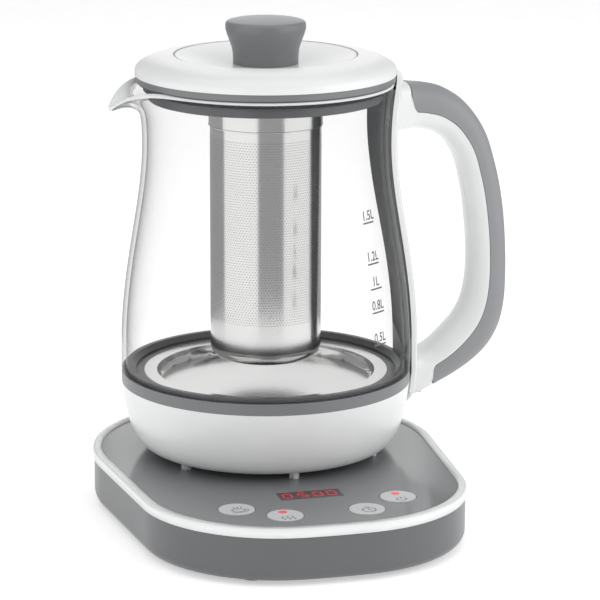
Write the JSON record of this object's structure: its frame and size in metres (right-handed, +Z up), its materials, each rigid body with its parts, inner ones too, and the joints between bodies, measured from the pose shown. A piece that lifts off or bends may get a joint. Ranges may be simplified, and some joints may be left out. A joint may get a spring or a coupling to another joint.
{
  "type": "automatic tea maker",
  "caption": "Glass tea kettle with a hanging steel infuser, lid and side handle, standing on a flat cordless base with a display and round push buttons.",
  "frame": {"origin": "middle of the bounding box footprint, on the table plane", "axes": "+Z up, +X towards the handle, -Y towards the buttons and display, +Y towards the cord outlet"},
  "size_m": [0.2166, 0.232, 0.2507],
  "materials": {
    "white_plastic": "moulded, satin gloss",
    "grey_plastic": "moulded, satin",
    "panel_gloss": "polished",
    "button_cap": "satin, printed icon",
    "cover_plastic": "fine moulded texture",
    "gland_rubber": "matte",
    "foot_rubber": "matte",
    "seal_rubber": "matte silicone",
    "glass": "clear borosilicate",
    "steel": "brushed",
    "screw_steel": "zinc plated",
    "aluminium": "cast",
    "brass": "plated",
    "circuit_board": "green laminate",
    "black_plastic": "matte",
    "display_glass": "dark polished window"
  },
  "bodies": {
    "base": {"base_housing": "grey_plastic", "base_rim": "white_plastic", "base_panel": "panel_gloss", "bottom_cover": "cover_plastic", "base_screws": "screw_steel", "cord_gland": "gland_rubber", "control_board": "circuit_board", "base_feet": "foot_rubber", "switch_1": "black_plastic", "switch_2": "black_plastic", "switch_3": "black_plastic", "switch_4": "black_plastic", "display_module": "black_plastic", "display_lens": "display_glass", "power_board": "circuit_board", "contact_hub": "cover_plastic", "earth_sleeve": "steel", "contact_pin": "brass"},
    "kettle_socket": {"kettle_coupling": "cover_plastic"},
    "kettle": {"bowl_shell": "white_plastic", "kettle_screws": "screw_steel", "heating_plate": "steel", "heating_element": "steel", "clamp_ring": "grey_plastic", "glass_seal": "seal_rubber", "plate_gasket": "seal_rubber", "heat_spreader": "aluminium", "temperature_sensor": "steel", "thermal_cutout": "cover_plastic", "glass_body": "glass", "handle_body": "white_plastic", "handle_grip": "grey_plastic", "handle_backing": "grey_plastic", "handle_screws": "screw_steel"},
    "lid": {"lid_base": "grey_plastic", "lid_skirt": "grey_plastic", "infuser_socket": "grey_plastic", "lid_seal": "seal_rubber", "lid_ring": "white_plastic", "knob": "grey_plastic", "lid_dish": "white_plastic", "knob_screw": "screw_steel"},
    "infuser": {"infuser_tube": "steel", "infuser_collar": "steel"},
    "button_1": {"button_1": "button_cap"},
    "button_2": {"button_2": "button_cap"},
    "button_3": {"button_3": "button_cap"},
    "button_4": {"button_4": "button_cap"}
  },
  "joints": [
    {"name": "kettle_lift", "type": "slide", "parent": "base", "child": "kettle_socket", "axis": [0, 0, 1], "range_m": [0, 0.08]},
    {"name": "kettle_turn", "type": "hinge", "parent": "kettle_socket", "child": "kettle", "pos_m": [-0.0203, 0.024, 0.028], "axis": [0, 0, 1], "continuous": true},
    {"name": "lid_lift", "type": "slide", "parent": "kettle", "child": "lid", "axis": [0, 0, 1], "range_m": [0, 0.15]},
    {"name": "infuser_twist", "type": "hinge", "parent": "lid", "child": "infuser", "pos_m": [-0.0203, 0.024, 0.028], "axis": [0, 0, 1], "range_deg": [0, 30]},
    {"name": "button_1_press", "type": "slide", "parent": "base", "child": "button_1", "axis": [0, 0, -1], "range_m": [0, 0.0008], "stiffness_N_per_m": 600},
    {"name": "button_2_press", "type": "slide", "parent": "base", "child": "button_2", "axis": [0, 0, -1], "range_m": [0, 0.0008], "stiffness_N_per_m": 600},
    {"name": "button_3_press", "type": "slide", "parent": "base", "child": "button_3", "axis": [0, 0, -1], "range_m": [0, 0.0008], "stiffness_N_per_m": 600},
    {"name": "button_4_press", "type": "slide", "parent": "base", "child": "button_4", "axis": [0, 0, -1], "range_m": [0, 0.0008], "stiffness_N_per_m": 600}
  ]
}
